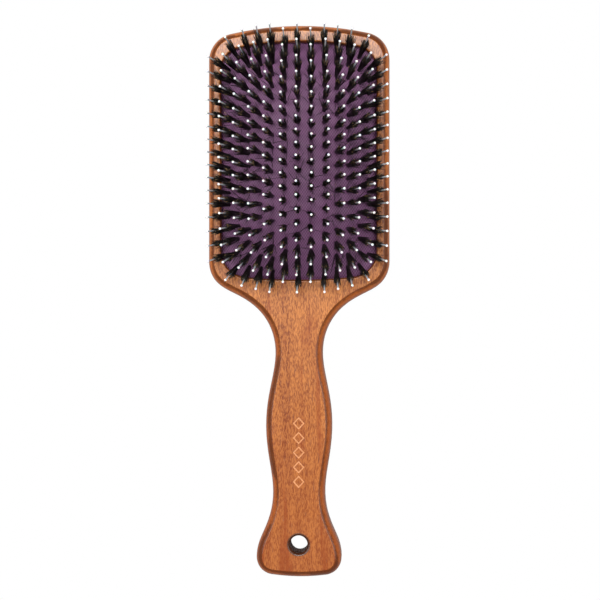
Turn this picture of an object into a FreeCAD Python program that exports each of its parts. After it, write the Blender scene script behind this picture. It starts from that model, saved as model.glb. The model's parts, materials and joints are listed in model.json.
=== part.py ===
"""Wooden cushion hairbrush: board, rubber cushion, scrim, nylon pins, bristle tufts and staples.

Millimetres, +Z up with the pins pointing up, +Y from the handle to the head.
The origin is below the middle of the brush, on the plane that its back rests on.
"""
import FreeCAD
import Part
import math
import os

# wooden board
LENGTH = 250.0
BOARD_THICKNESS = 14.0
HEAD_HALF_WIDTH = 41.05
HEAD_ARCH_RADIUS = 145.0
HEAD_CORNER_RADIUS = 12.5
SHOULDER_TOP_Y = 17.7
BUTT_HALF_WIDTH = 19.3
BUTT_ARCH_RADIUS = 90.0
BUTT_CORNER_RADIUS = 8.0
FACE_ROUND = 4.5
FACE_PLANED = 0.25
BACK_ROUND = 4.0

# right side of the shoulder and handle from the head down to the butt: (half width, y)
HANDLE_PROFILE = (
    (38.3, 9.6), (27.0, 2.3), (17.5, -4.9), (12.9, -12.2), (10.7, -23.1), (12.0, -34.0),
    (14.1, -44.9), (15.0, -57.6), (13.8, -70.3), (11.8, -86.6), (12.9, -95.7), (15.4, -102.9),
    (18.4, -110.2),
)

# hanging hole near the butt
HOLE_Y = -110.0
HOLE_RADIUS = 4.0
HOLE_RIM_ROUND = 1.3

# chain of shallow lozenge outlines cut along the middle of the handle
LOZENGE_HALF_WIDTH = 2.7
LOZENGE_HALF_LENGTH = 2.9
LOZENGE_LINE = 0.9
LOZENGE_DEPTH = 0.3
LOZENGE_FIRST_Y = -55.2
LOZENGE_PITCH = 6.6
LOZENGE_COUNT = 5

# opening in the face, the chamber under it and the groove that grips the cushion
OPENING_HALF_WIDTH = 35.1
OPENING_TOP_Y = 117.1
OPENING_BOTTOM_Y = 9.7
OPENING_TOP_ARCH = 145.0
OPENING_BOTTOM_ARCH = 250.0
OPENING_TOP_CORNER = 10.5
OPENING_BOTTOM_CORNER = 12.0
LIP_ROUND = 1.0
CHAMBER_FLOOR_Z = 4.5
GROOVE_DEPTH = 2.5

# rubber cushion and the scrim under it
CUSHION_EDGE_Z = 11.0
CUSHION_THICKNESS = 1.6
SCRIM_THICKNESS = 0.4
CROWN = 8.5
CROWN_HALF_WIDTH = 35.3
CROWN_HALF_LENGTH = 53.7
CROWN_POWER_X = 2.2
CROWN_POWER_Y = 3.2
TUFT_HOLE_RADIUS = 1.12
GROOVE_CLEARANCE = 0.1

# one nylon pin, measured along its own axis from the rubber's outer surface
PIN_RADIUS = 0.4
PIN_FOOT = -2.15
BALL_RADIUS = 0.6
BALL_HEIGHT = 19.05

# one bristle tuft around its pin, and the staple through its root
TUFT_BORE_RADIUS = 0.5
TUFT_WAIST_RADIUS = 1.0
TUFT_WAIST_FOOT = -2.4
TUFT_WAIST_TOP = 0.4
TUFT_TIP_RADIUS = 1.7
TUFT_HEIGHT = 13.5
ROOT_HEIGHT = -3.5
ROOT_RADIUS = 1.35
ROOT_EYE_RADIUS = 0.75
STAPLE_RADIUS = 0.15
STAPLE_LENGTH = 3.6

# columns from the middle outwards: (x, y of the first tuft, y of the last tuft, tufts)
COLUMNS = (
    (0.0, 113.0, 14.0, 19),
    (5.7, 111.2, 17.3, 18),
    (11.6, 113.0, 14.1, 19),
    (17.0, 112.6, 15.0, 18),
    (22.2, 111.7, 15.7, 18),
    (27.2, 110.0, 16.6, 17),
    (31.5, 104.9, 21.4, 16),
)

# slopes of the tufts away from the crown's middle: across it, near its sides and corners,
# and towards each end, where the lean fades near the sides
LEAN_ACROSS = 0.53
LEAN_SIDE = 0.06
LEAN_CORNER = 0.8
LEAN_SIDE_POWER = 6
LEAN_TOP = 0.70
LEAN_BOTTOM = 0.78
LEAN_END_POWER = 2.6
LEAN_FADE = 0.8
LEAN_FADE_POWER = 5

CROWN_MIDDLE_Y = (OPENING_TOP_Y + OPENING_BOTTOM_Y) / 2
UP = FreeCAD.Vector(0, 0, 1)
TINY = 1e-4


def point(x, y, z=0.0):
    return FreeCAD.Vector(x, y, z)


def arc(first, middle, last):
    return Part.Arc(first, middle, last).toShape()


def arched_end(half_width, end_y, arch_radius, corner_radius, way):
    """Edges of a shallow arch with a rounded corner at each side, from right to left.

    way is +1 for an end that bulges towards +Y and -1 for one that bulges towards -Y.
    """
    centre_y = end_y - way * arch_radius
    corner_x = half_width - corner_radius
    reach = arch_radius - corner_radius
    corner_y = centre_y + way * math.sqrt(reach**2 - corner_x**2)
    turn = math.atan2(corner_x, abs(corner_y - centre_y))
    join_x = arch_radius * math.sin(turn)
    join_y = centre_y + way * arch_radius * math.cos(turn)
    half_turn = (math.pi / 2 - turn) / 2
    mid_x = corner_x + corner_radius * math.cos(half_turn)
    mid_y = corner_y + way * corner_radius * math.sin(half_turn)
    return [
        arc(point(half_width, corner_y), point(mid_x, mid_y), point(join_x, join_y)),
        arc(point(join_x, join_y), point(0, end_y), point(-join_x, join_y)),
        arc(point(-join_x, join_y), point(-mid_x, mid_y), point(-half_width, corner_y)),
    ], corner_y


def smooth_curve(through, end_direction):
    """Curve through points, with the same direction at both ends, paced by its chord lengths."""
    pace = [0.0]
    for before, after in zip(through, through[1:]):
        pace.append(pace[-1] + before.distanceToPoint(after))
    curve = Part.BSplineCurve()
    curve.interpolate(
        Points=through,
        Parameters=pace,
        InitialTangent=end_direction,
        FinalTangent=end_direction,
        Scale=False,
    )
    return curve.toShape()


def board_outline():
    """Closed wire of the whole board: arched head, curved shoulders and handle, arched butt."""
    head, head_side_y = arched_end(
        HEAD_HALF_WIDTH, LENGTH / 2, HEAD_ARCH_RADIUS, HEAD_CORNER_RADIUS, 1
    )
    butt, butt_side_y = arched_end(
        BUTT_HALF_WIDTH, -LENGTH / 2, BUTT_ARCH_RADIUS, BUTT_CORNER_RADIUS, -1
    )
    edges = head + butt
    for side in (1, -1):
        top = point(side * HEAD_HALF_WIDTH, head_side_y)
        shoulder = point(side * HEAD_HALF_WIDTH, SHOULDER_TOP_Y)
        edges.append(Part.LineSegment(top, shoulder).toShape())
        through = [shoulder]
        through += [point(side * x, y) for x, y in HANDLE_PROFILE]
        through.append(point(side * BUTT_HALF_WIDTH, butt_side_y))
        edges.append(smooth_curve(through, point(0, -1)))
    return Part.Wire(Part.__sortEdges__(edges))


def opening_outline(grow=0.0):
    """Closed wire of the opening in the face, grown sideways by the given distance."""
    top, top_side_y = arched_end(
        OPENING_HALF_WIDTH + grow,
        OPENING_TOP_Y + grow,
        OPENING_TOP_ARCH + grow,
        OPENING_TOP_CORNER + grow,
        1,
    )
    bottom, bottom_side_y = arched_end(
        OPENING_HALF_WIDTH + grow,
        OPENING_BOTTOM_Y - grow,
        OPENING_BOTTOM_ARCH + grow,
        OPENING_BOTTOM_CORNER + grow,
        -1,
    )
    edges = top + bottom
    for side in (1, -1):
        x = side * (OPENING_HALF_WIDTH + grow)
        edges.append(Part.LineSegment(point(x, top_side_y), point(x, bottom_side_y)).toShape())
    return Part.Wire(Part.__sortEdges__(edges))


def prism(wire, low_z, high_z):
    face = Part.Face(wire)
    face.translate(point(0, 0, low_z))
    return face.extrude(point(0, 0, high_z - low_z))


def edges_at(shape, z, test=lambda edge: True):
    """Edges that lie wholly at one height and pass the test."""
    return [
        edge
        for edge in shape.Edges
        if abs(edge.BoundBox.ZMin - z) < TINY and abs(edge.BoundBox.ZMax - z) < TINY and test(edge)
    ]


def lozenge(y, inset):
    half_length = LOZENGE_HALF_LENGTH - inset
    half_width = LOZENGE_HALF_WIDTH - inset
    corners = [
        point(0, y + half_length),
        point(half_width, y),
        point(0, y - half_length),
        point(-half_width, y),
    ]
    wire = Part.makePolygon(corners + corners[:1])
    return prism(wire, BOARD_THICKNESS - LOZENGE_DEPTH, BOARD_THICKNESS + 1)


def lozenge_outline(number):
    y = LOZENGE_FIRST_Y - number * LOZENGE_PITCH
    return lozenge(y, 0).cut(lozenge(y, LOZENGE_LINE))


def board():
    """One-piece wooden board with its chamber, groove, hanging hole and cut lozenges."""
    sawn_thickness = BOARD_THICKNESS + FACE_PLANED
    body = prism(board_outline(), 0, sawn_thickness)
    body = body.makeFillet(FACE_ROUND, edges_at(body, sawn_thickness))
    body = body.makeFillet(BACK_ROUND, edges_at(body, 0))
    corner = point(-HEAD_HALF_WIDTH - 1, -LENGTH / 2 - 1, BOARD_THICKNESS)
    body = body.cut(Part.makeBox(2 * HEAD_HALF_WIDTH + 2, LENGTH + 2, 1, corner))
    body = body.cut(prism(opening_outline(), CHAMBER_FLOOR_Z, BOARD_THICKNESS + 1))

    def is_lip(edge):
        box = edge.BoundBox
        inside = max(abs(box.XMin), abs(box.XMax)) < OPENING_HALF_WIDTH + TINY
        return inside and box.YMin > OPENING_BOTTOM_Y - TINY and box.YMax < OPENING_TOP_Y + TINY

    body = body.makeFillet(LIP_ROUND, edges_at(body, BOARD_THICKNESS, is_lip))
    groove = prism(
        opening_outline(GROOVE_DEPTH), CUSHION_EDGE_Z - CUSHION_THICKNESS, CUSHION_EDGE_Z
    )
    body = body.cut(groove)
    bore = Part.makeCylinder(HOLE_RADIUS, BOARD_THICKNESS + 2, point(0, HOLE_Y, -1), UP)
    body = body.cut(bore)

    def is_rim(edge):
        return abs(edge.Length - 2 * math.pi * HOLE_RADIUS) < 0.01

    rims = edges_at(body, 0, is_rim) + edges_at(body, BOARD_THICKNESS, is_rim)
    body = body.makeFillet(HOLE_RIM_ROUND, rims)
    return body.cut([lozenge_outline(number) for number in range(LOZENGE_COUNT)])


def crown_z(x, y):
    """Height of the rubber's outer surface above the back of the board."""
    across = 1 - abs(x / CROWN_HALF_WIDTH) ** CROWN_POWER_X
    along = 1 - abs((y - CROWN_MIDDLE_Y) / CROWN_HALF_LENGTH) ** CROWN_POWER_Y
    return CUSHION_EDGE_Z + CROWN * across * along


def tuft_direction(x, y):
    """Direction that a tuft stands in: nearly square to the crown, and further out at its rim."""
    across = abs(x / CROWN_HALF_WIDTH)
    along = abs((y - CROWN_MIDDLE_Y) / CROWN_HALF_LENGTH)
    fall = along**CROWN_POWER_Y
    slope_x = LEAN_ACROSS * across ** (CROWN_POWER_X - 1) * (1 - fall)
    slope_x += across**LEAN_SIDE_POWER * (LEAN_SIDE + LEAN_CORNER * fall)
    end_slope = LEAN_TOP if y > CROWN_MIDDLE_Y else LEAN_BOTTOM
    slope_y = end_slope * along**LEAN_END_POWER * (1 - LEAN_FADE * across**LEAN_FADE_POWER)
    toward_end = math.copysign(slope_y, y - CROWN_MIDDLE_Y)
    return point(math.copysign(slope_x, x), toward_end, 1).normalize()


def crown_slab(drop, thickness, grow):
    """Sheet that follows the crown, its top a given drop below the outer surface."""
    reach_x = CROWN_HALF_WIDTH + 2
    reach_y = CROWN_HALF_LENGTH + 2
    across, along = 25, 37
    rows = []
    for i in range(across):
        x = reach_x * (2 * i / (across - 1) - 1)
        row = []
        for j in range(along):
            y = CROWN_MIDDLE_Y + reach_y * (2 * j / (along - 1) - 1)
            row.append(point(x, y, crown_z(x, y) - drop))
        rows.append(row)
    surface = Part.BSplineSurface()
    surface.interpolate(rows)
    slab = surface.toShape().extrude(point(0, 0, -thickness))
    keep = prism(opening_outline(grow), 0, CUSHION_EDGE_Z + 2 * CROWN)
    return slab.common(keep).Solids[0]


def along_tuft(place, shape):
    """Copy of a template, turned and moved to a tuft's place."""
    copy = shape.copy()
    copy.Placement = place
    return copy


def tuft_places(x, first_y, last_y, count):
    """Placements of one column's tufts: on the crown, each leaning its own way."""
    places = []
    for i in range(count):
        y = first_y + (last_y - first_y) * i / (count - 1)
        turn = FreeCAD.Rotation(UP, tuft_direction(x, y))
        places.append(FreeCAD.Placement(point(x, y, crown_z(x, y)), turn))
    return places


def tuft_hole():
    depth = CUSHION_THICKNESS + SCRIM_THICKNESS + 2
    return Part.makeCylinder(TUFT_HOLE_RADIUS, depth + 2, point(0, 0, -depth), UP)


def cushion(holes):
    """Crowned rubber diaphragm with a flat rim held in the board's groove."""
    rim = prism(
        opening_outline(GROOVE_DEPTH - GROOVE_CLEARANCE),
        CUSHION_EDGE_Z - CUSHION_THICKNESS,
        CUSHION_EDGE_Z,
    )
    rim = rim.cut(prism(opening_outline(-1.0), 0, BOARD_THICKNESS))
    body = crown_slab(0, CUSHION_THICKNESS, -GROOVE_CLEARANCE).fuse(rim).removeSplitter()
    return body.cut(holes)


def scrim(holes):
    """Woven cloth bonded to the underside of the rubber."""
    return crown_slab(CUSHION_THICKNESS, SCRIM_THICKNESS, -3.0).cut(holes)


def pin():
    """Nylon pin with its ball tip."""
    shaft = Part.makeCylinder(PIN_RADIUS, BALL_HEIGHT - PIN_FOOT, point(0, 0, PIN_FOOT), UP)
    return shaft.fuse(Part.makeSphere(BALL_RADIUS, point(0, 0, BALL_HEIGHT)))


def tuft():
    """Bristle tuft: flared above the rubber, folded round an eye below it, bored for its pin."""
    profile = [
        point(TUFT_BORE_RADIUS, 0, PIN_FOOT),
        point(TUFT_BORE_RADIUS, 0, TUFT_HEIGHT),
        point(TUFT_TIP_RADIUS, 0, TUFT_HEIGHT),
        point(TUFT_WAIST_RADIUS, 0, TUFT_WAIST_TOP),
        point(TUFT_WAIST_RADIUS, 0, TUFT_WAIST_FOOT),
        point(0, 0, TUFT_WAIST_FOOT),
        point(0, 0, PIN_FOOT),
    ]
    face = Part.Face(Part.makePolygon(profile + profile[:1]))
    body = face.revolve(point(0, 0), UP, 360)
    waist = Part.makeCylinder(
        TUFT_WAIST_RADIUS, TUFT_WAIST_FOOT - ROOT_HEIGHT, point(0, 0, ROOT_HEIGHT), UP
    )
    root = Part.makeSphere(ROOT_RADIUS, point(0, 0, ROOT_HEIGHT))
    eye = Part.makeCylinder(
        ROOT_EYE_RADIUS, 4 * ROOT_RADIUS, point(0, -2 * ROOT_RADIUS, ROOT_HEIGHT), point(0, 1)
    )
    return body.fuse([waist, root]).removeSplitter().cut(eye)


def staple():
    """Short wire through the eye of one tuft's root."""
    start = point(0, -STAPLE_LENGTH / 2, ROOT_HEIGHT)
    return Part.makeCylinder(STAPLE_RADIUS, STAPLE_LENGTH, start, point(0, 1))


def write(node, shape):
    if not shape.isValid():
        raise RuntimeError(f"{node} is not a valid shape")
    shape.exportStep(f"parts/{node}.step")
    print(f"{node}: {len(shape.Solids)} solids, {shape.Volume:.1f} mm3")


def main():
    os.makedirs("parts", exist_ok=True)
    templates = {"pins": pin(), "tufts": tuft(), "staples": staple()}
    hole = tuft_hole()
    holes = []
    outermost = len(COLUMNS) - 1
    for number in range(2 * len(COLUMNS) - 1):
        offset = number - outermost
        x, first_y, last_y, count = COLUMNS[abs(offset)]
        places = tuft_places(math.copysign(x, offset), first_y, last_y, count)
        holes += [along_tuft(place, hole) for place in places]
        for name, template in templates.items():
            column = [along_tuft(place, template) for place in places]
            write(f"{name}_{number + 1:02d}", Part.makeCompound(column))
    write("board", board())
    write("cushion", cushion(holes))
    write("scrim", scrim(holes))


main()
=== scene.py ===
"""Finishes and soft parts of a wooden cushion hairbrush, built around its fixed frame.

Everything is in metres: +Y runs from the handle to the head and +Z from the back to the pins.
"""
import json
import math
import random

import bmesh
import bpy
import numpy as np
from mathutils import Matrix, Vector


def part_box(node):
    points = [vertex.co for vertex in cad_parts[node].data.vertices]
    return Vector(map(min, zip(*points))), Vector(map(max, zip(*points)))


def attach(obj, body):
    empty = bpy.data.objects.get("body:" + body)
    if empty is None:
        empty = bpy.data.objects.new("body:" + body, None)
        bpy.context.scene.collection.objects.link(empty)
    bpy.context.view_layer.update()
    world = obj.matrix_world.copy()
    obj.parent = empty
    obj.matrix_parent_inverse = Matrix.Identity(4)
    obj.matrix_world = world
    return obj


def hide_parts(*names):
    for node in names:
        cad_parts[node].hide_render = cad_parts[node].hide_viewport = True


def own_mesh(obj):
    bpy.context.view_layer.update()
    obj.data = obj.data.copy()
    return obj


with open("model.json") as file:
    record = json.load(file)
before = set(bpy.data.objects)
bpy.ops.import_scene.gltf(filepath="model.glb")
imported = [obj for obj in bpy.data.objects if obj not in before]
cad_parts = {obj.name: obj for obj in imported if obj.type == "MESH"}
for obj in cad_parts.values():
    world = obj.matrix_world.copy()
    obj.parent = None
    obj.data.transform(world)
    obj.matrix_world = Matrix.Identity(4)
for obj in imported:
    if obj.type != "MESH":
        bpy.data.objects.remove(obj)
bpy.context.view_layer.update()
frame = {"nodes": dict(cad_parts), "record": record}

bl_info = {
    "name": "Cushion Hairbrush",
    "version": (1, 0, 0),
    "blender": (4, 5, 0),
    "location": "View3D > Sidebar > Hairbrush",
    "description": "Wood, rubber, bristle and nylon finishes for a paddle cushion brush",
    "category": "Object",
}

MM = 0.001
BOARD_LOW, BOARD_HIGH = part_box("board")
CUSHION_LOW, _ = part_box("cushion")
FACE_Z = BOARD_HIGH.z
COLUMNS = sorted(name.removeprefix("pins_") for name in frame["nodes"] if name.startswith("pins_"))
HOLE = Vector(next(m["pos_m"] for m in frame["record"]["mounts"] if m["name"] == "hanging_hole"))
SAME_PLACE = 1e-6

# heights along a pin's own axis, measured from the rubber's outer surface
PIN_FOOT = -2.15 * MM
BALL_HEIGHT = 19.05 * MM
BALL_RADIUS = 0.6 * MM
PIN_TOP = BALL_HEIGHT + BALL_RADIUS

# how far a bristle's foot reaches below the rubber's outer surface
BRISTLE_BURIED = 2.2 * MM

# (share of the height, share of the foot's radius) at each ring of a bristle above its foot
BRISTLE_RINGS = ((0.4, 1.0), (0.75, 0.95), (1.0, 0.5))

# distances over which a mask on the board fades, from one end to the other
FLAT_TO_EDGE = (0.05 * MM, 0.16 * MM)
MARK_SIDE = (2.8 * MM, 3.0 * MM)
MARK_TOP_Y = (-50 * MM, -49 * MM)
MARK_BOTTOM_Y = (-87 * MM, -86 * MM)
MARK_DEPTH = 0.3 * MM
MARK_FLOOR = (0.04 * MM, 0.08 * MM)
BORE_RIM = (4.9 * MM, 5.6 * MM)

# pitch of each weave, and the share of x and y that runs across its ribs
RUBBER_PITCH = 0.96 * MM
SCRIM_PITCH = 0.9 * MM
ACROSS_RIBS = (0.82, 0.57)


# ---------------------------------------------------------------- settings


class BoardSettings(bpy.types.PropertyGroup):
    """Colours of the stained and lacquered board."""

    light: bpy.props.FloatVectorProperty(
        name="Light wood", description="Stained wood between the pores",
        subtype="COLOR", size=3, min=0, max=1, default=(0.545, 0.196, 0.046),
    )
    dark: bpy.props.FloatVectorProperty(
        name="Dark wood", description="Denser growth of the stained wood",
        subtype="COLOR", size=3, min=0, max=1, default=(0.160, 0.032, 0.006),
    )
    pore: bpy.props.FloatVectorProperty(
        name="Pores", description="Stain gathered in the short pores",
        subtype="COLOR", size=3, min=0, max=1, default=(0.13, 0.032, 0.010),
    )
    # stain on the rounded edges, darkened further as painted shade
    edge: bpy.props.FloatVectorProperty(
        name="Edge stain", description="Stain on the rounded edges",
        subtype="COLOR", size=3, min=0, max=1, default=(0.40, 0.092, 0.012),
    )
    # painted light: the rounded edge on the head painted paler, as if lit there
    painted_lit_head_edge: bpy.props.FloatVectorProperty(
        name="Head edge stain", description="Thinner stain on the rounded edge of the head",
        subtype="COLOR", size=3, min=0, max=1, default=(0.58, 0.170, 0.036),
    )
    line: bpy.props.FloatVectorProperty(
        name="Edge line", description="Stain gathered where the flat face meets the rounded edge",
        subtype="COLOR", size=3, min=0, max=1, default=(0.095, 0.019, 0.003),
    )
    # Darker stain for the figure and blotches, also painted as shade towards the butt
    deep_stain_and_butt_shade: bpy.props.FloatVectorProperty(
        name="Deep stain", description="Darker figure, and the stain towards the butt",
        subtype="COLOR", size=3, min=0, max=1, default=(0.25, 0.047, 0.006),
    )
    # end grain stain in the hanging hole, painted near black as shade inside it and round its rim
    bore_stain_and_shade: bpy.props.FloatVectorProperty(
        name="Bore", description="End grain inside the hanging hole",
        subtype="COLOR", size=3, min=0, max=1, default=(0.055, 0.017, 0.007),
    )
    cut: bpy.props.FloatVectorProperty(
        name="Cut wood", description="Paler wood in the cut lozenges",
        subtype="COLOR", size=3, min=0, max=1, default=(0.66, 0.30, 0.135),
    )
    lacquer: bpy.props.FloatProperty(
        name="Lacquer", description="Weight of the clear coat", min=0, max=1, default=0.2
    )


class CushionSettings(bpy.types.PropertyGroup):
    """Shape and colour of the rubber cushion and its scrim."""

    crown: bpy.props.FloatProperty(
        name="Crown", description="Height of the middle above the gripped rim",
        unit="LENGTH", min=0, default=8.5 * MM, precision=4,
    )
    rubber: bpy.props.FloatProperty(
        name="Rubber thickness", description="Thickness of the diaphragm",
        unit="LENGTH", min=0, default=1.5 * MM, precision=4,
    )
    dimple: bpy.props.FloatProperty(
        name="Dimple", description="Depth of the dimple that each tuft pulls into the rubber",
        unit="LENGTH", min=0, default=0.3 * MM, precision=4,
    )
    colour: bpy.props.FloatVectorProperty(
        name="Rubber", description="Colour of the rubber",
        subtype="COLOR", size=3, min=0, max=1, default=(0.225, 0.078, 0.202),
    )
    # painted shade in the valleys between the twill's ribs
    shade: bpy.props.FloatVectorProperty(
        name="Twill valleys", description="Colour between the ribs of the twill face",
        subtype="COLOR", size=3, min=0, max=1, default=(0.062, 0.019, 0.056),
    )
    cloth: bpy.props.FloatVectorProperty(
        name="Scrim", description="Colour of the cotton under the rubber",
        subtype="COLOR", size=3, min=0, max=1, default=(0.62, 0.57, 0.48),
    )


class TuftSettings(bpy.types.PropertyGroup):
    """Bristles of one tuft."""

    bristles: bpy.props.IntProperty(
        name="Bristles", description="Bristles in one tuft", min=6, default=76
    )
    clump: bpy.props.IntProperty(
        name="Clump", description="Bristles that lean together", min=1, default=5
    )
    radius: bpy.props.FloatProperty(
        name="Bristle radius", description="Radius of a bristle at its foot",
        unit="LENGTH", min=0, default=0.15 * MM, precision=5,
    )
    length: bpy.props.FloatProperty(
        name="Length", description="Length of the longest bristles above the rubber",
        unit="LENGTH", min=0, default=14.6 * MM, precision=4,
    )
    waist: bpy.props.FloatProperty(
        name="Waist radius", description="Radius of the tuft where it leaves the rubber",
        unit="LENGTH", min=0, default=0.64 * MM, precision=4,
    )
    flare: bpy.props.FloatProperty(
        name="Tip radius", description="Usual radius of the tuft at its tips",
        unit="LENGTH", min=0, default=1.36 * MM, precision=4,
    )
    patterns: bpy.props.IntProperty(
        name="Patterns", description="Different tufts that are dealt out over the cushion",
        min=1, default=7,
    )
    neat_patterns: bpy.props.IntProperty(
        name="Neat patterns", description="Different tufts without stray bristles, set beside the lip",
        min=1, default=3,
    )
    stray_share: bpy.props.FloatProperty(
        name="Stray share", description="Share of a tuft's bristles that stray out of it",
        subtype="FACTOR", min=0, max=1, default=0.022,
    )
    root_colour: bpy.props.FloatVectorProperty(
        name="Bristle", description="Colour of the bristles up to near their tips",
        subtype="COLOR", size=3, min=0, max=1, default=(0.004, 0.0035, 0.0035),
    )
    tip_colour: bpy.props.FloatVectorProperty(
        name="Bristle tip", description="Colour of the paler tips",
        subtype="COLOR", size=3, min=0, max=1, default=(0.40, 0.25, 0.11),
    )


class PinSettings(bpy.types.PropertyGroup):
    """Nylon pins with their ball tips."""

    radius: bpy.props.FloatProperty(
        name="Shaft radius", description="Radius of the nylon shaft",
        unit="LENGTH", min=0, default=0.34 * MM, precision=5,
    )
    ball: bpy.props.FloatVectorProperty(
        name="Ball", description="Colour of the ball tip",
        subtype="COLOR", size=3, min=0, max=1, default=(0.88, 0.89, 0.90),
    )
    # painted shade: grey on the nylon shaft for the dark surroundings seen through it
    shaft: bpy.props.FloatVectorProperty(
        name="Shaft", description="Colour of the bare part of the shaft",
        subtype="COLOR", size=3, min=0, max=1, default=(0.42, 0.43, 0.45),
    )
    # painted shade: near black low on the shaft, for the dark bristles seen through it
    foot: bpy.props.FloatVectorProperty(
        name="Shaft foot", description="Colour of the see-through shaft between dark bristles",
        subtype="COLOR", size=3, min=0, max=1, default=(0.045, 0.045, 0.05),
    )


class StudioSettings(bpy.types.PropertyGroup):
    """Floor, lights and camera."""

    camera_height: bpy.props.FloatProperty(
        name="Camera height", description="Height of the camera above the floor",
        unit="LENGTH", default=0.634, precision=4,
    )
    camera_side: bpy.props.FloatProperty(
        name="Camera side", description="How far the camera stands to the brush's right",
        unit="LENGTH", default=0.031, precision=4,
    )
    lens: bpy.props.FloatProperty(
        name="Lens", description="Focal length in millimetres", min=10, default=82.5
    )


SETTINGS = {
    "board": BoardSettings,
    "cushion": CushionSettings,
    "tufts": TuftSettings,
    "pins": PinSettings,
    "studio": StudioSettings,
}


def settings(name):
    return getattr(bpy.context.scene, f"hairbrush_{name}")


# ---------------------------------------------------------------- working by hand


def deselect_everything():
    if bpy.context.mode != "OBJECT":
        bpy.ops.object.mode_set(mode="OBJECT")
    bpy.ops.object.select_all(action="DESELECT")


def pick(*objects):
    """Selects these objects and makes the first the active one."""
    deselect_everything()
    for item in objects:
        item.select_set(True)
    bpy.context.view_layer.objects.active = objects[0]


def edit_where(item, test, kind="VERT"):
    """Enters edit mode with only the vertices or faces that pass the test selected."""
    pick(item)
    bpy.ops.object.mode_set(mode="EDIT")
    bpy.ops.mesh.select_mode(type=kind)
    bpy.ops.mesh.select_all(action="DESELECT")
    mesh = bmesh.from_edit_mesh(item.data)
    for element in {"VERT": mesh.verts, "FACE": mesh.faces}[kind]:
        element.select = test(element)
    mesh.select_flush_mode()
    bmesh.update_edit_mesh(item.data)


def leave_edit():
    bpy.ops.object.mode_set(mode="OBJECT")


def apply_place(item):
    pick(item)
    bpy.ops.object.transform_apply(location=True, rotation=True, scale=True)


def apply_modifier(item, kind, **values):
    pick(item)
    modifier = item.modifiers.new(kind.title(), kind)
    for name, value in values.items():
        setattr(modifier, name, value)
    bpy.ops.object.modifier_apply(modifier=modifier.name)


def join(items, name):
    """Joins the items into one piece with the given name."""
    pick(*items)
    if len(items) > 1:
        bpy.ops.object.join()
    piece = bpy.context.view_layer.objects.active
    piece.name = name
    piece.data.name = name
    return piece


def copy_of(source, matrix):
    """Copy of a modelled shape with its own mesh, its place in the mesh."""
    copy = source.copy()
    copy.data = source.data.copy()
    copy.data.transform(matrix)
    bpy.context.collection.objects.link(copy)
    return copy


def discard(items):
    for item in items:
        mesh = item.data
        bpy.data.objects.remove(item)
        bpy.data.meshes.remove(mesh)


def give_material(item, material):
    item.data.materials.clear()
    item.data.materials.append(material)


# ---------------------------------------------------------------- shader helpers


def link(tree, source, target):
    tree.links.new(source, target)


def add_node(tree, kind, **values):
    node = tree.nodes.new(kind)
    for name, value in values.items():
        setattr(node, name, value)
    return node


def stretched_noise(tree, vector, scale, detail=3.0, roughness=0.5, offset=(0, 0, 0)):
    """Noise on a vector scaled differently along each axis. Returns its factor."""
    mapping = add_node(tree, "ShaderNodeMapping")
    mapping.inputs["Scale"].default_value = scale
    mapping.inputs["Location"].default_value = offset
    noise = add_node(tree, "ShaderNodeTexNoise")
    noise.inputs["Scale"].default_value = 1.0
    noise.inputs["Detail"].default_value = detail
    noise.inputs["Roughness"].default_value = roughness
    link(tree, vector, mapping.inputs["Vector"])
    link(tree, mapping.outputs["Vector"], noise.inputs["Vector"])
    return noise.outputs["Fac"]


def remap(tree, value, low, high, out_low=0.0, out_high=1.0):
    node = add_node(tree, "ShaderNodeMapRange", interpolation_type="SMOOTHSTEP")
    node.inputs["From Min"].default_value = low
    node.inputs["From Max"].default_value = high
    node.inputs["To Min"].default_value = out_low
    node.inputs["To Max"].default_value = out_high
    link(tree, value, node.inputs["Value"])
    return node.outputs["Result"]


def calculate(tree, operation, first, second=None, clamp=False):
    node = add_node(tree, "ShaderNodeMath", operation=operation, use_clamp=clamp)
    for socket, value in zip(node.inputs, (first, second)):
        if value is None:
            continue
        if isinstance(value, (int, float)):
            socket.default_value = value
        else:
            link(tree, value, socket)
    return node.outputs["Value"]


def mix_colours(tree, factor, first, second):
    """Mixes two colours, each a plain colour or a socket, by a factor's socket."""
    node = add_node(tree, "ShaderNodeMix", data_type="RGBA")
    for name, value in (("Factor", factor), ("A", first), ("B", second)):
        kind = "VALUE" if name == "Factor" else "RGBA"
        socket = next(s for s in node.inputs if s.name == name and s.type == kind)
        if isinstance(value, tuple):
            socket.default_value = (*value, 1.0)
        else:
            link(tree, value, socket)
    return next(s for s in node.outputs if s.type == "RGBA")


def split(tree, vector):
    """The X, Y and Z outputs of a vector."""
    parts = add_node(tree, "ShaderNodeSeparateXYZ")
    link(tree, vector, parts.inputs["Vector"])
    return parts.outputs


def add_bump(tree, height, distance, strength=1.0):
    node = add_node(tree, "ShaderNodeBump")
    node.inputs["Distance"].default_value = distance
    node.inputs["Strength"].default_value = strength
    link(tree, height, node.inputs["Height"])
    return node.outputs["Normal"]


def new_material(name, **constants):
    """Principled material with its constant values set on the shader's own sockets."""
    material = bpy.data.materials.new(name)
    material.use_nodes = True
    shader = material.node_tree.nodes["Principled BSDF"]
    for socket, value in constants.items():
        shader.inputs[socket.replace("_", " ")].default_value = value
    return material, material.node_tree, shader


def new_group(name, inputs, outputs):
    """Empty shader node group with named float inputs and outputs."""
    group = bpy.data.node_groups.new(name, "ShaderNodeTree")
    for label, default in inputs.items():
        vector = isinstance(default, tuple)
        kind = "NodeSocketVector" if vector else "NodeSocketFloat"
        socket = group.interface.new_socket(label, in_out="INPUT", socket_type=kind)
        socket.default_value = default
    for label in outputs:
        group.interface.new_socket(label, in_out="OUTPUT", socket_type="NodeSocketFloat")
    return group, group.nodes.new("NodeGroupInput"), group.nodes.new("NodeGroupOutput")


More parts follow.
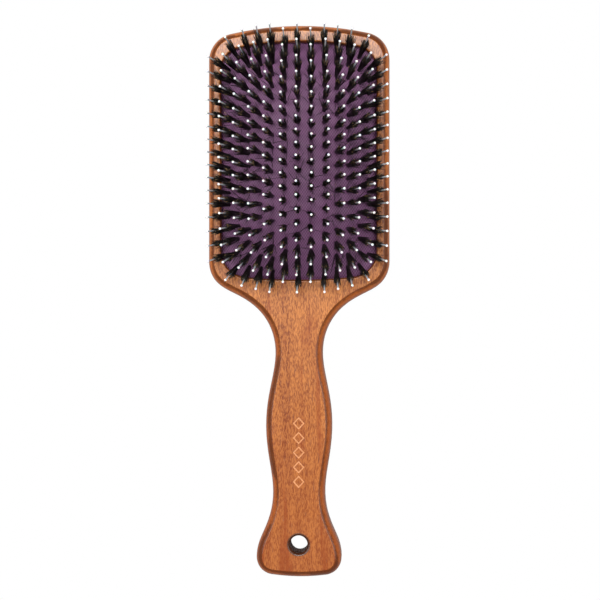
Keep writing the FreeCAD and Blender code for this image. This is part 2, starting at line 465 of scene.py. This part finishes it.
def place_group(tree, group, **values):
    node = add_node(tree, "ShaderNodeGroup", node_tree=group)
    for label, value in values.items():
        socket = node.inputs[label.replace("_", " ")]
        if isinstance(value, float):
            socket.default_value = value
        else:
            link(tree, value, socket)
    return node


def object_position(tree):
    return add_node(tree, "ShaderNodeTexCoord").outputs["Object"]


def strand_parts(tree):
    """Tone and height, as the strand map holds them."""
    strand = add_node(tree, "ShaderNodeUVMap", uv_map="Strand")
    parts = split(tree, strand.outputs["UV"])
    return parts["X"], parts["Y"]


def weave_group():
    """Two crossing sets of diagonal ribs, the second with the strength that Cross gives."""
    group, inside, outside = new_group(
        "Diagonal weave",
        {"Vector": (0.0, 0.0, 0.0), "Pitch": 0.6 * MM, "Cross": 0.4},
        ["Height"],
    )
    parts = split(group, inside.outputs["Vector"])
    share_x, share_y = ACROSS_RIBS
    waves = []
    for way in (1.0, -1.0):
        from_x = calculate(group, "MULTIPLY", parts["X"], share_x)
        from_y = calculate(group, "MULTIPLY", parts["Y"], -share_y * way)
        turned = calculate(group, "ADD", from_x, from_y)
        phase = calculate(group, "DIVIDE", turned, inside.outputs["Pitch"])
        angle = calculate(group, "MULTIPLY", phase, 2 * math.pi)
        waves.append(calculate(group, "SINE", angle))
    crossing = calculate(group, "MULTIPLY", waves[1], inside.outputs["Cross"])
    total = calculate(group, "ADD", waves[0], crossing)
    half = calculate(group, "MULTIPLY", total, 0.36)
    height = calculate(group, "ADD", half, 0.5, clamp=True)
    link(group, height, outside.inputs["Height"])
    return group


def mottle_group():
    """Slow and fast unevenness mixed into one value around a half."""
    group, inside, outside = new_group(
        "Uneven surface",
        {"Vector": (0.0, 0.0, 0.0), "Slow": 60.0, "Fast": 1500.0},
        ["Value"],
    )
    values = []
    for label, detail in (("Slow", 3.0), ("Fast", 2.0)):
        noise = add_node(group, "ShaderNodeTexNoise")
        noise.inputs["Detail"].default_value = detail
        link(group, inside.outputs["Vector"], noise.inputs["Vector"])
        link(group, inside.outputs[label], noise.inputs["Scale"])
        values.append(noise.outputs["Fac"])
    total = calculate(group, "ADD", values[0], values[1])
    link(group, calculate(group, "MULTIPLY", total, 0.5), outside.inputs["Value"])
    return group


def shared_group(name, build):
    return bpy.data.node_groups.get(name) or build()


def weave():
    return shared_group("Diagonal weave", weave_group)


def mottle():
    return shared_group("Uneven surface", mottle_group)


# ---------------------------------------------------------------- materials


def wood_grain(tree, position):
    """Lengthwise bands and streaks with short flecks. Returns the whole grain, and the flecks."""
    bands = remap(tree, stretched_noise(tree, position, (120, 6, 120), 2.0), 0.34, 0.68)
    streaks = remap(tree, stretched_noise(tree, position, (800, 45, 800), 4.0, 0.65), 0.38, 0.64)
    flecks = stretched_noise(tree, position, (2300, 520, 2300), 2.0, 0.6, (2, 9, 4))
    flecks = remap(tree, flecks, 0.45, 0.57)
    grain = calculate(tree, "ADD", calculate(tree, "MULTIPLY", bands, 0.24),
                      calculate(tree, "MULTIPLY", streaks, 0.27))
    grain = calculate(tree, "ADD", grain, calculate(tree, "MULTIPLY", flecks, 0.56), clamp=True)
    return grain, flecks


def stain_and_butt_shade(tree, position, along):
    """How far the darker colour shows: as stain in blotches and figure, and as painted shade that
    darkens the wood towards the butt.
    """
    blotch = stretched_noise(tree, position, (75, 26, 75), 3.0, 0.6, (3, 1, 0))
    # painted shade: the wood darkens towards the butt, where the sheen falls off
    painted_butt_shade = remap(tree, along, -0.115, 0.02, 0.45, 0.0)
    figure = stretched_noise(tree, position, (260, 13, 260), 3.0, 0.6, (1, 4, 8))
    figure = remap(tree, figure, 0.54, 0.66)
    gathered = calculate(tree, "ADD", remap(tree, blotch, 0.56, 0.80, 0.0, 0.5), painted_butt_shade)
    return calculate(tree, "ADD", gathered, calculate(tree, "MULTIPLY", figure, 0.4), clamp=True)


def edge_stain_and_shade(tree, position, along, depth, uneven, grain):
    """Stain on the rounded edges, darkened with painted shade and painted paler on the head as if lit
    there, with an uneven dark line where they leave the flat faces.
    """
    chosen = settings("board")
    line = tuple(chosen.line)
    widening = stretched_noise(tree, position, (38, 30, 38), 2.0, 0.5, (5, 3, 9))
    widening = remap(tree, widening, 0.42, 0.62, 0.3 * MM, -1.0 * MM)
    wavy = calculate(tree, "ADD", depth, remap(tree, uneven, 0.35, 0.65, -0.25 * MM, 0.25 * MM))
    wavy = calculate(tree, "ADD", wavy, widening)
    # painted light: the edge colour turns paler towards the head
    on_head = remap(tree, along, -0.01, 0.04)
    rounded = mix_colours(tree, on_head, tuple(chosen.edge), tuple(chosen.painted_lit_head_edge))
    edge = mix_colours(tree, remap(tree, wavy, 0.3 * MM, 1.5 * MM), line, rounded)
    return mix_colours(tree, calculate(tree, "MULTIPLY", grain, 0.35), edge, line)


def mark_mask(tree, parts):
    """One over the strip of the handle that holds the cut lozenges, and nought elsewhere."""
    off_centre = calculate(tree, "ABSOLUTE", parts["X"])
    in_width = remap(tree, off_centre, *MARK_SIDE, 1.0, 0.0)
    below_top = remap(tree, parts["Y"], *MARK_TOP_Y, 1.0, 0.0)
    above_bottom = remap(tree, parts["Y"], *MARK_BOTTOM_Y, 0.0, 1.0)
    return calculate(tree, "MULTIPLY", in_width,
                     calculate(tree, "MULTIPLY", below_top, above_bottom))


def bore_stain_and_shade_mask(tree, parts):
    """Strongest in the hanging hole, and fading out round its rim: where end grain stain and painted
    shade darken the wood.
    """
    from_x = calculate(tree, "SUBTRACT", parts["X"], HOLE.x)
    from_y = calculate(tree, "SUBTRACT", parts["Y"], HOLE.y)
    squares = calculate(tree, "ADD", calculate(tree, "MULTIPLY", from_x, from_x),
                        calculate(tree, "MULTIPLY", from_y, from_y))
    return remap(tree, calculate(tree, "SQRT", squares), *BORE_RIM, 0.92, 0.0)


def wood_material():
    """Reddish brown stained wood with lengthwise grain, short flecks and satin lacquer."""
    chosen = settings("board")
    material, tree, shader = new_material(
        "Stained wood", Coat_Weight=chosen.lacquer, Coat_Roughness=0.22, Specular_IOR_Level=0.32
    )
    position = object_position(tree)
    parts = split(tree, position)
    uneven = place_group(tree, mottle(), Vector=position, Slow=90.0, Fast=900.0).outputs["Value"]
    grain, flecks = wood_grain(tree, position)
    colour = mix_colours(tree, grain, tuple(chosen.light), tuple(chosen.dark))
    # stain in blotches and figure, plus painted shade towards the butt
    gathered = stain_and_butt_shade(tree, position, parts["Y"])
    colour = mix_colours(tree, gathered, colour, tuple(chosen.deep_stain_and_butt_shade))
    pores = stretched_noise(tree, position, (1500, 150, 1500), 2.0, 0.5, (7, 2, 5))
    pores = remap(tree, pores, 0.63, 0.72)
    colour = mix_colours(tree, calculate(tree, "MULTIPLY", pores, 0.6), colour, tuple(chosen.pore))

    # depth below the nearer of the two flat faces
    below_face = calculate(tree, "SUBTRACT", FACE_Z, parts["Z"])
    depth = calculate(tree, "MINIMUM", below_face, parts["Z"])
    in_mark = mark_mask(tree, parts)
    on_edge = calculate(tree, "MULTIPLY", remap(tree, depth, *FLAT_TO_EDGE, 0.0, 0.85),
                        calculate(tree, "SUBTRACT", 1.0, in_mark))
    # edge stain with painted shade, and painted light on the head
    edge = edge_stain_and_shade(tree, position, parts["Y"], depth, uneven, grain)
    colour = mix_colours(tree, on_edge, colour, edge)
    # end grain stain and painted shade in and round the hanging hole
    colour = mix_colours(tree, bore_stain_and_shade_mask(tree, parts), colour, tuple(chosen.bore_stain_and_shade))
    from_floor = calculate(tree, "ABSOLUTE", calculate(tree, "SUBTRACT", below_face, MARK_DEPTH))
    cut_floor = remap(tree, from_floor, *MARK_FLOOR, 1.0, 0.0)
    half_grain = calculate(tree, "MULTIPLY", grain, 0.5)
    paler = mix_colours(tree, half_grain, tuple(chosen.cut), tuple(chosen.light))
    colour = mix_colours(tree, calculate(tree, "MULTIPLY", cut_floor, in_mark), colour, paler)
    link(tree, colour, shader.inputs["Base Color"])

    rough = calculate(tree, "ADD", calculate(tree, "MULTIPLY", uneven, 0.16), 0.24)
    rough = calculate(tree, "ADD", rough, calculate(tree, "MULTIPLY", pores, 0.15))
    link(tree, rough, shader.inputs["Roughness"])
    relief = calculate(tree, "SUBTRACT", calculate(tree, "MULTIPLY", flecks, -0.3), pores)
    link(tree, add_bump(tree, relief, 0.04 * MM, 0.6), shader.inputs["Normal"])
    return material


def rubber_material():
    """Matt purple rubber whose face is moulded with a fine diagonal twill."""
    chosen = settings("cushion")
    material, tree, shader = new_material("Twill-faced rubber", Sheen_Weight=0.12, Sheen_Roughness=0.5)
    position = object_position(tree)
    ribs = place_group(tree, weave(), Vector=position, Pitch=RUBBER_PITCH, Cross=0.8)
    ribs = ribs.outputs["Height"]
    uneven = place_group(tree, mottle(), Vector=position, Slow=120.0, Fast=2200.0).outputs["Value"]
    # painted shade: the twill's valleys darker than its ribs
    colour = mix_colours(tree, ribs, tuple(chosen.shade), tuple(chosen.colour))
    worn = mix_colours(tree, remap(tree, uneven, 0.35, 0.65, 0.0, 0.22), colour, tuple(chosen.colour))
    link(tree, worn, shader.inputs["Base Color"])
    link(tree, remap(tree, uneven, 0.3, 0.7, 0.5, 0.72), shader.inputs["Roughness"])
    link(tree, add_bump(tree, ribs, 0.08 * MM, 0.7), shader.inputs["Normal"])
    return material


def scrim_material():
    """Plain cotton weave."""
    chosen = settings("cushion")
    material, tree, shader = new_material("Cotton scrim", Sheen_Weight=0.4)
    position = object_position(tree)
    threads = place_group(tree, weave(), Vector=position, Pitch=SCRIM_PITCH, Cross=1.0)
    threads = threads.outputs["Height"]
    shaded = tuple(0.55 * value for value in chosen.cloth)
    colour = mix_colours(tree, threads, shaded, tuple(chosen.cloth))
    link(tree, colour, shader.inputs["Base Color"])
    link(tree, remap(tree, threads, 0.0, 1.0, 0.95, 0.8), shader.inputs["Roughness"])
    link(tree, add_bump(tree, threads, 0.2 * MM, 0.8), shader.inputs["Normal"])
    return material


def bristle_material():
    """Dark natural bristle, with paler tips on some strands."""
    chosen = settings("tufts")
    material, tree, shader = new_material("Natural bristle", IOR=1.55, Specular_IOR_Level=0.25)
    tone, height = strand_parts(tree)
    paleness = remap(tree, tone, 0.89, 0.97)
    tip = calculate(tree, "MULTIPLY", remap(tree, height, 0.86, 0.97), paleness)
    body = mix_colours(tree, remap(tree, tone, 0.0, 1.0, 0.0, 0.03), tuple(chosen.root_colour),
                       tuple(chosen.tip_colour))
    uneven = place_group(tree, mottle(), Vector=object_position(tree), Slow=800.0, Fast=6000.0)
    flecked = calculate(tree, "MULTIPLY", tip, remap(tree, uneven.outputs["Value"], 0.3, 0.7, 0.6, 1.0))
    colour = mix_colours(tree, flecked, body, tuple(chosen.tip_colour))
    link(tree, colour, shader.inputs["Base Color"])
    link(tree, remap(tree, height, 0.0, 1.0, 0.34, 0.5), shader.inputs["Roughness"])
    return material


def nylon_material():
    """White nylon: a bright ball on a thinner shaft, painted grey and near black low among the
    bristles, as painted shade for the dark surroundings seen through the nylon.
    """
    chosen = settings("pins")
    material, tree, shader = new_material("Nylon", IOR=1.53, Subsurface_Weight=0.15,
                                          Subsurface_Scale=0.6 * MM, Coat_Weight=0.2)
    _, height = strand_parts(tree)
    uneven = place_group(tree, mottle(), Vector=object_position(tree), Slow=400.0, Fast=3000.0)
    # painted shade: near black at the foot, grey higher up the shaft
    shaft = mix_colours(tree, remap(tree, height, 0.66, 0.88), tuple(chosen.foot), tuple(chosen.shaft))
    shaft = mix_colours(tree, remap(tree, uneven.outputs["Value"], 0.3, 0.7, 0.0, 0.12), shaft,
                        tuple(chosen.ball))
    colour = mix_colours(tree, remap(tree, height, 0.935, 0.96), shaft, tuple(chosen.ball))
    link(tree, colour, shader.inputs["Base Color"])
    link(tree, remap(tree, uneven.outputs["Value"], 0.3, 0.7, 0.22, 0.38), shader.inputs["Roughness"])
    return material


def wire_material():
    """Drawn steel wire with fine lengthwise marks."""
    material, tree, shader = new_material("Drawn steel wire", Metallic=1.0)
    uneven = place_group(tree, mottle(), Vector=object_position(tree), Slow=900.0, Fast=9000.0)
    value = uneven.outputs["Value"]
    colour = mix_colours(tree, value, (0.50, 0.50, 0.51), (0.70, 0.70, 0.70))
    link(tree, colour, shader.inputs["Base Color"])
    link(tree, remap(tree, value, 0.3, 0.7, 0.25, 0.45), shader.inputs["Roughness"])
    return material


# ---------------------------------------------------------------- places from the frame


def pin_axes(column):
    """(root on the rubber, direction) of each pin in a column, from the head down.

    A pin's axis runs from the middle of its foot's flat end to the middle of its ball.
    """
    foot_slice, ball_slice = 0.01 * MM, 1.4 * BALL_RADIUS
    probe = bmesh.new()
    probe.from_mesh(frame["nodes"][f"pins_{column}"].data)
    bmesh.ops.remove_doubles(probe, verts=probe.verts, dist=SAME_PLACE)
    axes = []
    waiting = set(probe.verts)
    while waiting:
        found = [waiting.pop()]
        for vertex in found:
            for edge in vertex.link_edges:
                other = edge.other_vert(vertex)
                if other in waiting:
                    waiting.remove(other)
                    found.append(other)
        points = np.array([vertex.co[:] for vertex in found])
        centre = (points.max(0) + points.min(0)) / 2
        for _ in range(2):
            direction = np.linalg.svd(points - centre)[2][0]
            direction = direction * np.sign(direction[2])
            along = (points - centre) @ direction
            foot = points[along < along.min() + foot_slice]
            ball = points[along > along.max() - ball_slice]
            start = (foot.max(0) + foot.min(0)) / 2
            centre = start
            direction = (ball.max(0) + ball.min(0)) / 2 - start
        direction = direction / np.linalg.norm(direction)
        top = ((points - start) @ direction).max()
        root = start + direction * (top - PIN_TOP)
        axes.append((Vector(root), Vector(direction)))
    probe.free()
    return sorted(axes, key=lambda axis: -axis[0].y)


def standing(root, direction, twist=0.0):
    """Matrix that stands a shape modelled along +Z on a root, along a direction."""
    turn = direction.to_track_quat("Z", "Y").to_matrix().to_4x4()
    return Matrix.Translation(root) @ turn @ Matrix.Rotation(twist, 4, "Z")


# ---------------------------------------------------------------- cushion


class OpeningPlan:
    """Rounded outline of the opening in the board's face, read as a height over each x."""

    half_width = 35.1 * MM
    top = 117.1 * MM
    bottom = 9.7 * MM
    arches = {1: (145 * MM, 10.5 * MM), -1: (250 * MM, 12 * MM)}
    middle = (top + bottom) / 2

    def end_y(self, x, way, grow):
        """y of the outline's upper (way 1) or lower (way -1) end at one x."""
        arch, corner = (radius + grow for radius in self.arches[way])
        end = (self.top if way > 0 else self.bottom) + way * grow
        centre = end - way * arch
        corner_x = self.half_width + grow - corner
        corner_y = centre + way * math.sqrt((arch - corner) ** 2 - corner_x**2)
        join = arch * corner_x / (arch - corner)
        if abs(x) <= join:
            return centre + way * math.sqrt(arch**2 - x**2)
        return corner_y + way * math.sqrt(max(corner**2 - (abs(x) - corner_x) ** 2, 0.0))

    def place(self, across, along, grow):
        """Point at shares from -1 to 1 across the width and along the length."""
        x = (self.half_width + grow) * math.sin(math.pi / 2 * across)
        low, high = self.end_y(x, -1, grow), self.end_y(x, 1, grow)
        return x, low + (high - low) * (along + 1) / 2


PLAN = OpeningPlan()
RIM_THICKNESS = 1.6 * MM
RIM_TOP_Z = CUSHION_LOW.z + RIM_THICKNESS
RIM_STEP = 0.03 * MM
CROWN_HALF_WIDTH = 35.3 * MM
CROWN_HALF_LENGTH = 53.7 * MM
CROWN_POWER_ACROSS = 2.2
CROWN_POWER_ALONG = 3.2
DIMPLE_RADIUS = 1.35 * MM
SCRIM_THICKNESS = 0.35 * MM
SCRIM_GAP = 0.15 * MM
SCRIM_LEAST_GAP = 0.1 * MM


def crown_z(x, y):
    """Height of the rubber's outer surface."""
    across = 1 - min(abs(x) / CROWN_HALF_WIDTH, 1.0) ** CROWN_POWER_ACROSS
    along = 1 - min(abs(y - PLAN.middle) / CROWN_HALF_LENGTH, 1.0) ** CROWN_POWER_ALONG
    return RIM_TOP_Z + settings("cushion").crown * across * along


def crowned_sheet(name, columns, rows, edge_grow, rim_grow, drop, roots):
    """Sheet that follows the crown, dimpled at the roots, with a flat rim outside its edge."""
    deselect_everything()
    bpy.ops.mesh.primitive_grid_add(x_subdivisions=columns, y_subdivisions=rows, size=2)
    sheet = bpy.context.active_object
    dimple = settings("cushion").dimple
    places = np.array([root[:2] for root in roots]) if roots else None
    for vertex in sheet.data.vertices:
        i = round((vertex.co.x + 1) / 2 * columns)
        j = round((vertex.co.y + 1) / 2 * rows)
        on_rim = i in (0, columns) or j in (0, rows)
        across = min(max((i - 1) / (columns - 2), 0.0), 1.0) * 2 - 1
        along = min(max((j - 1) / (rows - 2), 0.0), 1.0) * 2 - 1
        x, y = PLAN.place(across, along, rim_grow if on_rim else edge_grow)
        z = RIM_TOP_Z - RIM_STEP if on_rim else crown_z(x, y)
        if places is not None and not on_rim:
            distance = np.hypot(places[:, 0] - x, places[:, 1] - y).min()
            z -= dimple * math.exp(-((distance / DIMPLE_RADIUS) ** 2))
        vertex.co = x, y, z - drop
    join([sheet], name)
    bpy.ops.object.shade_smooth()
    return sheet


def add_cushion():
    roots = [root for column in COLUMNS for root, _ in pin_axes(column)]
    chosen = settings("cushion")
    sheet = crowned_sheet("rubber_cushion", columns=132, rows=154, edge_grow=-0.1 * MM,
                          rim_grow=2.3 * MM, drop=0.0, roots=roots)
    apply_modifier(sheet, "SOLIDIFY", thickness=chosen.rubber, offset=-1.0)
    give_material(sheet, rubber_material())
    cloth = crowned_sheet("cotton_scrim", columns=60, rows=90, edge_grow=-4.0 * MM,
                          rim_grow=-3.2 * MM, drop=chosen.rubber + SCRIM_GAP, roots=None)
    for vertex in cloth.data.vertices:
        under_rubber = crown_z(vertex.co.x, vertex.co.y) - chosen.rubber - SCRIM_LEAST_GAP
        vertex.co.z = min(vertex.co.z, under_rubber)
    apply_modifier(cloth, "SOLIDIFY", thickness=SCRIM_THICKNESS, offset=-1.0)
    give_material(cloth, scrim_material())
    for piece, node, slot_name in ((sheet, "cushion", "rubber"), (cloth, "scrim", "scrim")):
        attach(piece, "root")
        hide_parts(node)
        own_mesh(piece)


# ---------------------------------------------------------------- tufts and pins


def set_strand(item, tone, low, high):
    """Writes the strand map: tone across, and height from low to high up."""
    for layer in list(item.data.uv_layers):
        item.data.uv_layers.remove(layer)
    layer = item.data.uv_layers.new(name="Strand")
    for loop in item.data.loops:
        z = item.data.vertices[loop.vertex_index].co.z
        layer.data[loop.index].uv = tone, (z - low) / (high - low)


def model_bristle(bend):
    """One bristle standing on the origin: three-sided, tapered, bent sideways to a closed tip."""
    chosen = settings("tufts")
    deselect_everything()
    height = chosen.length
    bpy.ops.mesh.primitive_cylinder_add(
        vertices=3, radius=chosen.radius, depth=height, location=(0, 0, height / 2)
    )
    bristle = bpy.context.active_object
    apply_place(bristle)
    for share, _ in BRISTLE_RINGS[:-1]:
        edit_where(bristle, lambda face: True, "FACE")
        bpy.ops.mesh.bisect(plane_co=(0, 0, share * height), plane_no=(0, 0, 1))
        leave_edit()
    for share, taper in BRISTLE_RINGS:
        edit_where(bristle, lambda vertex: abs(vertex.co.z - share * height) < SAME_PLACE)
        bpy.ops.transform.resize(value=(taper, taper, 1))
        bpy.ops.transform.translate(value=(bend * share**2, 0, 0))
        leave_edit()
    bpy.ops.object.shade_smooth()
    set_strand(bristle, 0.5, 0, height)
    return bristle


def clump_manner(dice):
    """Seeded turn, ring, spread and height that the bristles of one clump share."""
    ring = math.sqrt(dice.uniform(0.16, 1.0))
    return dice.uniform(0, 2 * math.pi), ring, dice.gauss(1.0, 0.26), 1 - abs(dice.gauss(0, 0.08))


def bristle_place(dice, chosen, manner, stray_share):
    """Seeded place of one bristle in its clump: foot round the pin, leaning outwards."""
    turn, ring, spread, tallness = manner
    turn += dice.gauss(0, 0.16) / ring
    ring = min(max(ring + dice.gauss(0, 0.07), 0.4), 1.0)
    foot = chosen.waist * ring * 0.92
    tall = chosen.length * tallness * (1 - abs(dice.gauss(0, 0.03)))
    tip = chosen.flare * ring * spread
    if dice.random() < stray_share:
        tip += dice.uniform(1.5, 5.0) * MM
        tall *= dice.uniform(0.6, 0.9)
    lean = math.atan2(tip - foot, tall)
    stand = Matrix.Rotation(turn, 4, "Z") @ Matrix.Translation((foot, 0, -BRISTLE_BURIED))
    stand = stand @ Matrix.Rotation(lean, 4, "Y") @ Matrix.Rotation(dice.gauss(0, 0.018), 4, "X")
    stretch = Matrix.Diagonal((1, 1, (tall + BRISTLE_BURIED) / chosen.length, 1))
    return stand @ stretch @ Matrix.Rotation(dice.uniform(0, 2 * math.pi), 4, "Z")


def model_tuft(number, bristles, stray_share):
    """One tuft standing on the origin, from seeded copies of the modelled bristles."""
    chosen = settings("tufts")
    dice = random.Random(100 + number)
    strands = []
    for count in range(chosen.bristles):
        if count % chosen.clump == 0:
            manner = clump_manner(dice)
        source = dice.choice(bristles)
        strand = copy_of(source, Matrix.Identity(4))
        set_strand(strand, dice.random(), 0, chosen.length)
        strand.data.transform(bristle_place(dice, chosen, manner, stray_share))
        strands.append(strand)
    return join(strands, f"tuft_pattern_{number}")


def beside_lip(root):
    """Whether a tuft stands close to the board's lip."""
    side_band, end_band = 6 * MM, 10 * MM
    beside = abs(root.x) > PLAN.half_width - side_band
    return beside or not PLAN.bottom + end_band < root.y < PLAN.top - end_band


def add_tufts():
    chosen = settings("tufts")
    bristles = [model_bristle(bend * MM) for bend in (0.15, 0.6, 1.1)]
    loose_numbers = range(chosen.patterns)
    neat_numbers = range(chosen.patterns, chosen.patterns + chosen.neat_patterns)
    loose = [model_tuft(number, bristles, chosen.stray_share) for number in loose_numbers]
    neat = [model_tuft(number, bristles, 0.0) for number in neat_numbers]
    material = bristle_material()
    dice = random.Random(7)
    for column in COLUMNS:
        copies = []
        for root, direction in pin_axes(column):
            place = standing(root, direction, dice.uniform(0, 2 * math.pi))
            copies.append(copy_of(dice.choice(neat if beside_lip(root) else loose), place))
        piece = join(copies, f"bristle_tufts_{column}")
        give_material(piece, material)
        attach(piece, f"pin_column_{column}")
        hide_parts(f"tufts_{column}")
    discard(bristles + loose + neat)


def model_pin():
    """One nylon pin standing on the origin: a six-sided shaft joined to its ball."""
    chosen = settings("pins")
    deselect_everything()
    depth = BALL_HEIGHT - PIN_FOOT
    bpy.ops.mesh.primitive_cylinder_add(
        vertices=6, radius=chosen.radius, depth=depth, location=(0, 0, PIN_FOOT + depth / 2)
    )
    shaft = bpy.context.active_object
    apply_place(shaft)
    deselect_everything()
    bpy.ops.mesh.primitive_uv_sphere_add(
        segments=8, ring_count=6, radius=BALL_RADIUS, location=(0, 0, BALL_HEIGHT)
    )
    ball = bpy.context.active_object
    apply_place(ball)
    pin = join([shaft, ball], "pin_pattern")
    bpy.ops.object.shade_smooth_by_angle(angle=math.radians(50))
    set_strand(pin, 0.5, PIN_FOOT, PIN_TOP)
    return pin


def add_pins():
    pattern = model_pin()
    material = nylon_material()
    for column in COLUMNS:
        copies = [copy_of(pattern, standing(*axis)) for axis in pin_axes(column)]
        piece = join(copies, f"nylon_pins_{column}")
        give_material(piece, material)
        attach(piece, f"pin_column_{column}")
        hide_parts(f"pins_{column}")
    discard([pattern])


def add_staples():
    material = wire_material()
    for column in COLUMNS:
        give_material(frame["nodes"][f"staples_{column}"], material)


def add_board():
    board = frame["nodes"]["board"]
    give_material(board, wood_material())


# ---------------------------------------------------------------- stage


def add_area_light(name, place, target, size, power):
    deselect_everything()
    bpy.ops.object.light_add(type="AREA", location=place)
    lamp = bpy.context.active_object
    lamp.name = name
    lamp.data.shape = "RECTANGLE"
    lamp.data.size, lamp.data.size_y = size
    lamp.data.energy = power
    aim = Vector(target) - Vector(place)
    lamp.rotation_euler = aim.to_track_quat("-Z", "Y").to_euler()


def white_to_camera(tree, kind, unseen, surface):
    """Shows an even white to the camera, and the given shader to every other ray."""
    white = add_node(tree, kind)
    white.inputs["Color"].default_value = (1, 1, 1, 1)
    white.inputs["Strength"].default_value = 1.0
    path = add_node(tree, "ShaderNodeLightPath")
    switch = add_node(tree, "ShaderNodeMixShader")
    link(tree, path.outputs["Is Camera Ray"], switch.inputs["Fac"])
    link(tree, unseen, switch.inputs[1])
    link(tree, white.outputs[0], switch.inputs[2])
    link(tree, switch.outputs["Shader"], surface)


def add_floor():
    below_board = 0.02 * MM
    deselect_everything()
    bpy.ops.mesh.primitive_plane_add(size=4, location=(0, 0, BOARD_LOW.z - below_board))
    floor = bpy.context.active_object
    floor.name = "floor"
    material, tree, shader = new_material("Floor", Base_Color=(0.35, 0.35, 0.35, 1), Roughness=0.9)
    surface = tree.nodes["Material Output"].inputs["Surface"]
    white_to_camera(tree, "ShaderNodeEmission", shader.outputs["BSDF"], surface)
    give_material(floor, material)


def add_world():
    """Dim surroundings that the camera sees as white."""
    world = bpy.data.worlds.new("Studio")
    world.use_nodes = True
    tree = world.node_tree
    dim = tree.nodes["Background"]
    dim.inputs["Color"].default_value = (1, 1, 1, 1)
    dim.inputs["Strength"].default_value = 0.18
    surface = tree.nodes["World Output"].inputs["Surface"]
    white_to_camera(tree, "ShaderNodeBackground", dim.outputs["Background"], surface)
    bpy.context.scene.world = world
    bpy.context.scene.view_settings.view_transform = "Standard"


def add_camera():
    """Camera high above the brush and a little to its right, turned towards its middle."""
    chosen = settings("studio")
    middle = Vector((0.3 * MM, 0.5 * MM, FACE_Z / 2))
    place = Vector((chosen.camera_side, middle.y, chosen.camera_height))
    deselect_everything()
    bpy.ops.object.camera_add(location=place)
    camera = bpy.context.active_object
    camera.rotation_euler = (0, math.atan2(place.x - middle.x, place.z - middle.z), 0)
    camera.data.lens = chosen.lens
    camera.data.clip_start = 0.01
    bpy.context.scene.camera = camera


def add_stage():
    add_floor()
    add_area_light("head softbox", (-0.05, 0.36, 1.0), (0, 0.05, 0), (0.62, 0.38), 9.0)
    add_area_light("left softbox", (-0.62, 0.08, 0.9), (0, 0, 0), (0.6, 0.8), 5.6)
    add_area_light("right softbox", (0.64, 0.03, 0.9), (0, 0, 0), (0.6, 0.8), 4.2)
    add_area_light("handle softbox", (0.05, -0.66, 0.85), (0, 0, 0), (0.8, 0.4), 2.0)
    add_world()
    add_camera()


# ---------------------------------------------------------------- operators and panel


class HAIRBRUSH_OT_stage(bpy.types.Operator):
    """Adds the floor, the lights and the camera"""

    bl_idname = "hairbrush.stage"
    bl_label = "Stage"
    bl_options = {"REGISTER", "UNDO"}

    def execute(self, context):
        add_stage()
        return {"FINISHED"}


class HAIRBRUSH_OT_board(bpy.types.Operator):
    """Stains and lacquers the wooden board"""

    bl_idname = "hairbrush.board"
    bl_label = "Board"
    bl_options = {"REGISTER", "UNDO"}

    def execute(self, context):
        add_board()
        return {"FINISHED"}


class HAIRBRUSH_OT_cushion(bpy.types.Operator):
    """Models the rubber cushion and the scrim under it"""

    bl_idname = "hairbrush.cushion"
    bl_label = "Cushion"
    bl_options = {"REGISTER", "UNDO"}

    def execute(self, context):
        add_cushion()
        return {"FINISHED"}


class HAIRBRUSH_OT_tufts(bpy.types.Operator):
    """Models the bristle tufts and deals them out over the cushion"""

    bl_idname = "hairbrush.tufts"
    bl_label = "Tufts"
    bl_options = {"REGISTER", "UNDO"}

    def execute(self, context):
        add_tufts()
        return {"FINISHED"}


class HAIRBRUSH_OT_pins(bpy.types.Operator):
    """Models the ball-tipped nylon pins"""

    bl_idname = "hairbrush.pins"
    bl_label = "Pins"
    bl_options = {"REGISTER", "UNDO"}

    def execute(self, context):
        add_pins()
        return {"FINISHED"}


class HAIRBRUSH_OT_staples(bpy.types.Operator):
    """Finishes the wire staples in the roots of the tufts"""

    bl_idname = "hairbrush.staples"
    bl_label = "Staples"
    bl_options = {"REGISTER", "UNDO"}

    def execute(self, context):
        add_staples()
        return {"FINISHED"}


STEPS = (
    HAIRBRUSH_OT_stage,
    HAIRBRUSH_OT_board,
    HAIRBRUSH_OT_cushion,
    HAIRBRUSH_OT_tufts,
    HAIRBRUSH_OT_pins,
    HAIRBRUSH_OT_staples,
)


class HAIRBRUSH_PT_panel(bpy.types.Panel):
    """Sizes, colours and steps of the hairbrush"""

    bl_label = "Hairbrush"
    bl_space_type = "VIEW_3D"
    bl_region_type = "UI"
    bl_category = "Hairbrush"

    def draw(self, context):
        for name in SETTINGS:
            box = self.layout.box()
            box.label(text=name.title())
            group = settings(name)
            for key in group.bl_rna.properties.keys():
                if key not in {"rna_type", "name"}:
                    box.prop(group, key)
        for step in STEPS:
            self.layout.operator(step.bl_idname)


def register():
    for name, group in SETTINGS.items():
        bpy.utils.register_class(group)
        setattr(bpy.types.Scene, f"hairbrush_{name}", bpy.props.PointerProperty(type=group))
    for cls in (*STEPS, HAIRBRUSH_PT_panel):
        bpy.utils.register_class(cls)


def unregister():
    for cls in (HAIRBRUSH_PT_panel, *reversed(STEPS)):
        bpy.utils.unregister_class(cls)
    for name, group in SETTINGS.items():
        delattr(bpy.types.Scene, f"hairbrush_{name}")
        bpy.utils.unregister_class(group)


def main():
    register()
    for step in STEPS:
        getattr(bpy.ops.hairbrush, step.bl_idname.split(".")[1])()


if __name__ == "__main__":
    main()
